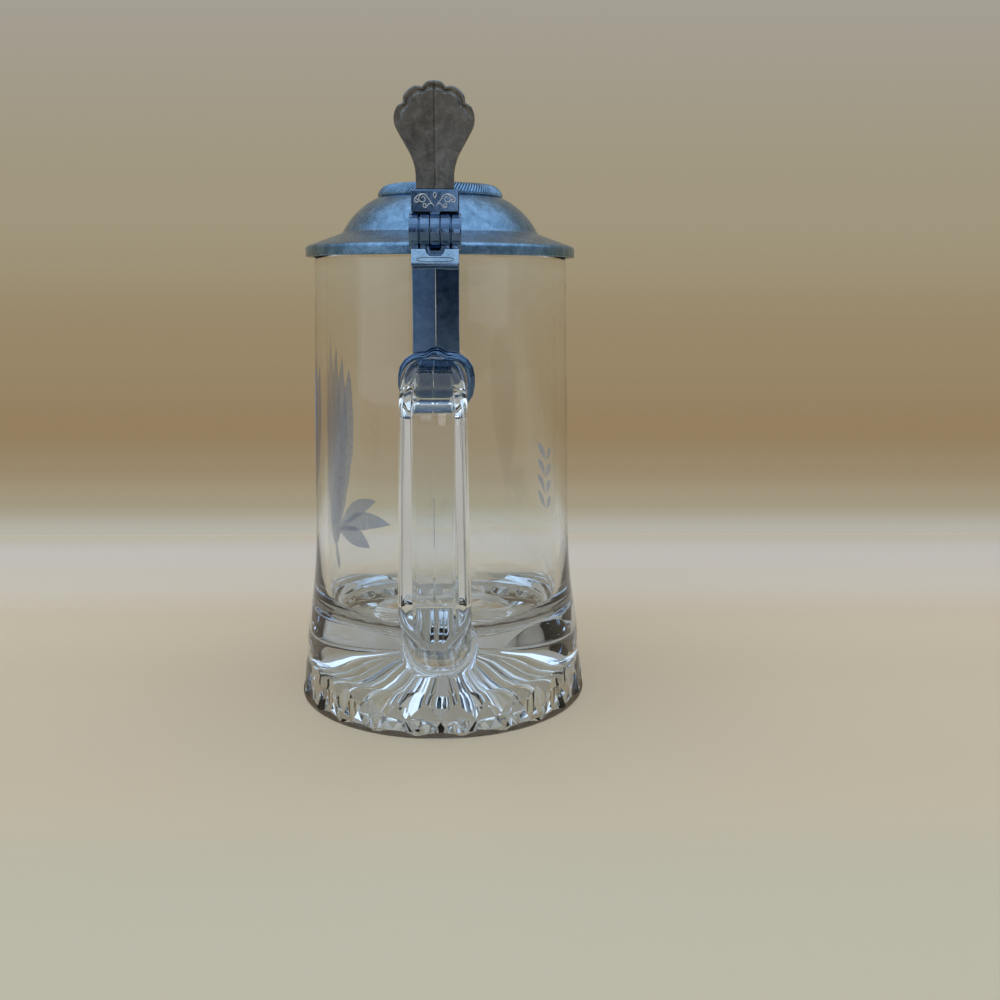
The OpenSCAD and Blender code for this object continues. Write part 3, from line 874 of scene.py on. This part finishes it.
def medallion_disc():
    """Disc under the rope and a low domed field with a plain rosette of petals."""
    rows = 40
    rim = MEDAL_R - 1.6
    field = MEDAL_R - ROPE_W * 0.75
    petal_r = field * 0.86
    edge = CROWN_Z + FIELD_H * 0.62
    top = CROWN_Z + FIELD_H
    profile = [(0, CROWN_Z + 0.01), (rim, CROWN_Z + 0.01), (rim, CROWN_Z + 0.8)]
    profile += [(field + 0.6, CROWN_Z + 1.4), (field, edge - 0.4)]
    for i in range(rows):
        t = i / rows
        profile.append((field * (1 - t), edge + (top - edge - 0.45) * math.sin(math.pi / 2 * t)))
    profile.append((0, top - 0.2))

    def petals(r, z, a):
        if z < edge - 0.1 or r > petal_r:
            return 0.0
        across = math.sin(math.pi * r / petal_r)
        return PETAL_H * abs(math.cos(PETALS / 2 * a)) ** 0.7 * across - 0.1 * across

    return lathe("medallion_disc", profile, 240, petals)


disc = medallion_disc()
smooth(disc, angle=40)
place(disc, PEWTER, "lid", "pewter", "lid_medallion")


# The tang with its scrolls, and the thumblift

tang = casting("lid_tang", "tang_casting", voxel=0.17, rounds=3)
place(tang, SHADED_STRAP_PEWTER, "lid", "dark_pewter", "lid_tang")


def curl_path(start, bend, centre, radii, angle, turn):
    """A stem from start that runs into a spiral round centre, in x and z, at an angle in degrees."""
    first = math.radians(angle)
    join = (centre[0] + radii[0] * math.cos(first), centre[1] + radii[0] * math.sin(first))
    path = []
    for i in range(12):
        t = i / 12
        path.append(tuple(mix(mix(start[c], bend[c], t), mix(bend[c], join[c], t), t) for c in (0, 1)))
    for i in range(33):
        t = i / 32
        a = first + math.radians(turn) * t
        r = mix(radii[0], radii[1], t)
        path.append((centre[0] + r * math.cos(a), centre[1] + r * math.sin(a)))
    return path


def block_scrolls():
    """Plain mirrored scrolls and a bud, in low relief on the front of the tang's block."""
    shapes = [
        curl_path((0.3, 0), (1.4, 1.2), centre=(3.5, 2.0), radii=(1.4, 0.4), angle=150, turn=-500),
        curl_path((1.0, 0.6), (1.8, 0.9), centre=(2.9, 0.2), radii=(0.7, 0.25), angle=210, turn=400),
        curl_path((3.4, 3.4), (4.6, 3.5), centre=(5.2, 1.6), radii=(0.75, 0.25), angle=60, turn=-380),
    ]
    bud = []
    for i in range(15):
        t = i / 14
        bud.append((0.55 * math.sin(math.pi * t) * math.sin(math.pi * t / 2), 2.0 + 1.9 * t))
    shapes.append(bud)
    paths = []
    for side in (-1, 1):
        for shape in shapes:
            paths.append([(side * x, BLOCK_FRONT - 0.02, SCROLL_Z + z) for x, z in shape])
    return wires("block_scrolls", paths, radius=0.19)


scrolls = block_scrolls()
# The scrolls' bright metal is partly wear on the raised relief and partly painted highlight.
place(scrolls, BRIGHT_PEWTER, "lid", "pewter")


def fan_reach(a):
    """Distance of the scalloped edge from the middle of the fan, in the direction a from upright."""
    reach = 0.0
    for k in range(-2, 3):
        off = a - math.radians(LOBE_STEP * k)
        inside = LOBE_R ** 2 - (FAN_R * math.sin(off)) ** 2
        if inside > 0:
            reach = max(reach, FAN_R * math.cos(off) + math.sqrt(inside))
    return reach


def fan_details(obj):
    """Notches between the lobes, a seam down the middle, and a bead and a furrow along the top edge."""
    centre_z = LIFT_Z + LIFT_H - FAN_R - LOBE_R
    front = {v.index for v in obj.data.vertices if v.normal.y < -0.3}
    for v in obj.data.vertices:
        x = v.co.x / MM
        z = v.co.z / MM - centre_z
        a = math.atan2(x, z)
        r = max(0.01, math.hypot(x, z))
        turn = math.degrees(a)
        inset = fan_reach(a) - r
        if v.index in front:
            fade = 1 - eased((abs(turn) - LINE_END_TURN) / LINE_FADE_TURN)
            lines = hump(inset, FURROW_IN, LINE_W) * FURROW_D - hump(inset, BEAD_IN, LINE_W) * BEAD_H
            v.co.y += (lines * fade + hump(x, 0, FAN_SEAM_W) * FAN_SEAM_D) * MM
        notch = max(hump(turn, LOBE_STEP * (k + 0.5), NOTCH_TURN) for k in range(-2, 2))
        pull = NOTCH_D * notch * eased((NOTCH_REACH - inset) / NOTCH_REACH) * MM
        v.co.x -= pull * x / r
        v.co.z -= pull * z / r


fan = casting("thumblift", "thumb_fan", voxel=0.16, rounds=3)
fan_details(fan)
place(fan, DARK_PEWTER, "lid", "dark_pewter", "thumblift")


# The strap, the collar and the pin

def squared(value, power):
    """A sine or cosine flattened so that an oval comes out squarer."""
    return math.copysign(abs(value) ** power, value)


def saddle_oval():
    """Oval line of dark metal on the sloping face of the saddle; its darkness is painted shade, standing in
    for an oval groove.
    """
    points = 72
    top = Vector((SADDLE_TOP_Y, SADDLE_Z))
    foot = Vector((SADDLE_LIP_Y, SADDLE_Z - 0.8 * SADDLE_H))
    middle = mix(top, foot, 0.76)
    down = (foot - top).normalized()
    path = []
    for i in range(points):
        a = 2 * math.pi * i / points
        at = middle + down * (OVAL_H / 2 * squared(math.sin(a), 0.8))
        path.append((OVAL_W / 2 * squared(math.cos(a), 0.6), at.x, at.y))
    return wires("saddle_oval", [path], radius=0.13, closed=True)


oval = saddle_oval()
place(oval, DARK_PEWTER, "mug", "dark_pewter")

strap = casting("hinge_strap", "strap_casting", voxel=0.17, rounds=3)
place(strap, SHADED_STRAP_PEWTER, "mug", "pewter", "hinge_strap")

# The sloping face of the saddle is brighter than the rest of the strap: a lighter copy of the pewter paints
# the light that falls on this upturned face.
strap.data.materials.append(LIT_SADDLE_PEWTER)
for face in strap.data.polygons:
    in_height = 0 < SADDLE_Z - face.center.z / MM < SADDLE_H * 0.84
    face.material_index = int(in_height and face.center.y / MM < SADDLE_TOP_Y + 0.4)


def painted_highlight_edges():
    """Thin bright lines that paint highlights on the strap: along its ridge and its two front edges."""
    low = ARM_TOP + 3.2
    high = SADDLE_Z - SADDLE_H - 0.6
    side_x = STRAP_W / 2 - 0.1
    side_y = STRAP_FRONT + 0.1
    lines = [(0, RIDGE_Y + 0.02, 0.17), (-side_x, side_y, 0.12), (side_x, side_y, 0.12)]
    for i, (x, y, r) in enumerate(lines):
        path = [(x, y, mix(low, high, k / 12)) for k in range(13)]
        yield wires("strap_highlight_%d" % (i + 1), [path], radius=r)


for edge in painted_highlight_edges():
    place(edge, BRIGHT_PEWTER, "mug", "pewter")

collar = casting("handle_ring", "collar_casting", voxel=0.2, rounds=4)
place(collar, SHADED_STRAP_PEWTER, "mug", "pewter", "handle_ring")

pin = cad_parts["hinge_pin"]
pin.data.materials.clear()
pin.data.materials.append(PIN_METAL)


# Floor and backdrop, in metres

STAGE_X = 2.5
WALL_Y = 0.235
WALL_TOP = 0.55


def graded_paper(name, axis, low, high, stops):
    """Material with a soft change of tone along one axis; what its shader does with the tone comes after."""
    material, tree, bsdf = node_material(name)
    coord = tree.nodes.new("ShaderNodeTexCoord")
    split = tree.nodes.new("ShaderNodeSeparateXYZ")
    tree.links.new(coord.outputs["Object"], split.inputs["Vector"])
    span = tree.nodes.new("ShaderNodeMapRange")
    span.inputs["From Min"].default_value = low
    span.inputs["From Max"].default_value = high
    tree.links.new(split.outputs[axis], span.inputs["Value"])
    tone = ramp(tree, span.outputs["Result"], stops)
    tone.color_ramp.interpolation = "EASE"
    return material, tree, bsdf, tone


def floor_material():
    """Matt paper that is paler towards the backdrop; this change of tone is painted light, standing in for
    how light falls across the paper.
    """
    material, tree, bsdf, tone = graded_paper("floor_paper", "Y", -0.35, WALL_Y, [
        (0.0, (0.60, 0.48, 0.375)), (0.36, (0.605, 0.52, 0.385)), (0.45, (0.655, 0.53, 0.38)),
        (0.6, (0.69, 0.555, 0.405)), (0.72, (0.75, 0.605, 0.45)), (0.83, (0.79, 0.69, 0.58)),
        (0.93, (0.80, 0.72, 0.65)), (1.0, (0.74, 0.63, 0.50))])
    tree.links.new(tone.outputs["Color"], bsdf.inputs["Base Color"])
    bsdf.inputs["Roughness"].default_value = 0.9
    bsdf.inputs["Specular IOR Level"].default_value = 0.1
    return material


def backdrop_material():
    """Backdrop that glows at a tone which changes up its height, painted light standing in for how light
    falls on the paper; it shows only from the front, so that the part's back can be seen.
    """
    material, tree, bsdf, tone = graded_paper("backdrop_paper", "Z", 0.0, 0.32, [
        (0.0, (0.46, 0.445, 0.39)), (0.0625, (0.356, 0.309, 0.212)), (0.125, (0.315, 0.243, 0.148)),
        (0.185, (0.295, 0.213, 0.118)), (0.34, (0.315, 0.24, 0.142)), (0.56, (0.35, 0.305, 0.206)),
        (1.0, (0.378, 0.353, 0.308))])
    tree.nodes.remove(bsdf)
    glow = tree.nodes.new("ShaderNodeEmission")
    clear = tree.nodes.new("ShaderNodeBsdfTransparent")
    side = tree.nodes.new("ShaderNodeNewGeometry")
    either = tree.nodes.new("ShaderNodeMixShader")
    tree.links.new(tone.outputs["Color"], glow.inputs["Color"])
    tree.links.new(side.outputs["Backfacing"], either.inputs["Fac"])
    tree.links.new(glow.outputs["Emission"], either.inputs[1])
    tree.links.new(clear.outputs["BSDF"], either.inputs[2])
    tree.links.new(either.outputs["Shader"], tree.nodes["Material Output"].inputs["Surface"])
    return material


def sheet(name, material, corners):
    """Flat sheet between four corners in metres."""
    obj = new_piece(name, corners, [(0, 1, 2, 3)], scale=1)
    obj.data.materials.append(material)
    return obj


floor = sheet("floor", floor_material(), [
    (-STAGE_X, -STAGE_X, 0), (STAGE_X, -STAGE_X, 0), (STAGE_X, WALL_Y, 0), (-STAGE_X, WALL_Y, 0)])
wall = sheet("backdrop", backdrop_material(), [
    (-STAGE_X, WALL_Y, 0), (STAGE_X, WALL_Y, 0), (STAGE_X, WALL_Y, WALL_TOP), (-STAGE_X, WALL_Y, WALL_TOP)])


# Light and world

def area_light(name, at, aim, size, power, colour):
    """Rectangular lamp at a place in metres, turned towards aim."""
    data = bpy.data.lights.new(name, "AREA")
    data.shape = "RECTANGLE"
    data.size = size[0]
    data.size_y = size[1]
    data.energy = power
    data.color = colour
    obj = bpy.data.objects.new(name, data)
    obj.location = at
    obj.rotation_euler = (Vector(aim) - Vector(at)).to_track_quat("-Z", "Y").to_euler()
    scene.collection.objects.link(obj)


area_light(
    "overhead", at=(0.0, -0.1, 1.4), aim=(0, 0, 0),
    size=(2.4, 2.0), power=9.0, colour=(0.85, 0.93, 1.0))
area_light(
    "side_fill", at=(-1.1, -0.85, 0.5), aim=(0, 0, 0.12),
    size=(1.4, 1.2), power=2.4, colour=(0.75, 0.88, 1.0))
area_light(
    "front_strip", at=(0.02, -1.3, 0.28), aim=(0, 0, 0.12),
    size=(0.06, 0.5), power=0.25, colour=(0.9, 0.95, 1.0))


def studio_world():
    """Bright sky above a room that is dim on the side of the handle and pale elsewhere."""
    world = bpy.data.worlds.new("studio")
    world.use_nodes = True
    tree = world.node_tree
    coord = tree.nodes.new("ShaderNodeTexCoord")
    split = tree.nodes.new("ShaderNodeSeparateXYZ")
    tree.links.new(coord.outputs["Generated"], split.inputs["Vector"])
    height = tree.nodes.new("ShaderNodeMapRange")
    height.inputs["From Min"].default_value = -1.0
    tree.links.new(split.outputs["Z"], height.inputs["Value"])
    sky = [(0.76, (0.74, 0.88, 1.0)), (1.0, (0.64, 0.74, 0.84))]
    dim = ramp(tree, height.outputs["Result"], [
        (0.0, (0.06, 0.055, 0.05)), (0.5, (0.03, 0.04, 0.06)), (0.56, (0.04, 0.06, 0.09)),
        (0.66, (0.30, 0.38, 0.47))] + sky)
    pale = ramp(tree, height.outputs["Result"], [
        (0.0, (0.2, 0.18, 0.15)), (0.5, (0.34, 0.32, 0.28)), (0.58, (0.40, 0.41, 0.41)),
        (0.66, (0.50, 0.55, 0.60))] + sky)
    side = tree.nodes.new("ShaderNodeMapRange")
    side.interpolation_type = "SMOOTHSTEP"
    side.inputs["From Min"].default_value = -0.93
    side.inputs["From Max"].default_value = -0.5
    tree.links.new(split.outputs["Y"], side.inputs["Value"])
    room = tree.nodes.new("ShaderNodeMixRGB")
    tree.links.new(side.outputs["Result"], room.inputs["Fac"])
    tree.links.new(dim.outputs["Color"], room.inputs["Color1"])
    tree.links.new(pale.outputs["Color"], room.inputs["Color2"])
    tree.links.new(room.outputs["Color"], tree.nodes["Background"].inputs["Color"])
    return world


scene.world = studio_world()


# Camera, as fitted to the photograph: focal length in pixels of its 1000 pixel frame, angles in degrees

FOCAL_PX = 1062.0
FRAME_PX = 1000.0
CAMERA_PITCH = 11.5
CAMERA_YAW = 1.453
CAMERA_ROLL = 0.2
CAMERA_AT = (0.01095, -0.36884, 0.143)


def photo_camera():
    """Camera that looks along +Y, down by the pitch and turned by the yaw and the roll."""
    data = bpy.data.cameras.new("camera")
    data.sensor_width = 36.0
    data.lens = FOCAL_PX / FRAME_PX * data.sensor_width
    obj = bpy.data.objects.new("camera", data)
    scene.collection.objects.link(obj)
    pitch = math.radians(CAMERA_PITCH)
    yaw = math.radians(CAMERA_YAW)
    roll = math.radians(CAMERA_ROLL)
    look = Vector((math.sin(yaw) * math.cos(pitch), math.cos(yaw) * math.cos(pitch), -math.sin(pitch)))
    level = Vector((math.cos(yaw), -math.sin(yaw), 0))
    upright = level.cross(look)
    right = level * math.cos(roll) + upright * math.sin(roll)
    up = upright * math.cos(roll) - level * math.sin(roll)
    rows = [(right[c], up[c], -look[c], CAMERA_AT[c]) for c in range(3)]
    obj.matrix_world = Matrix(rows + [(0, 0, 0, 1)])
    return obj


scene.camera = photo_camera()
scene.view_settings.view_transform = "Standard"
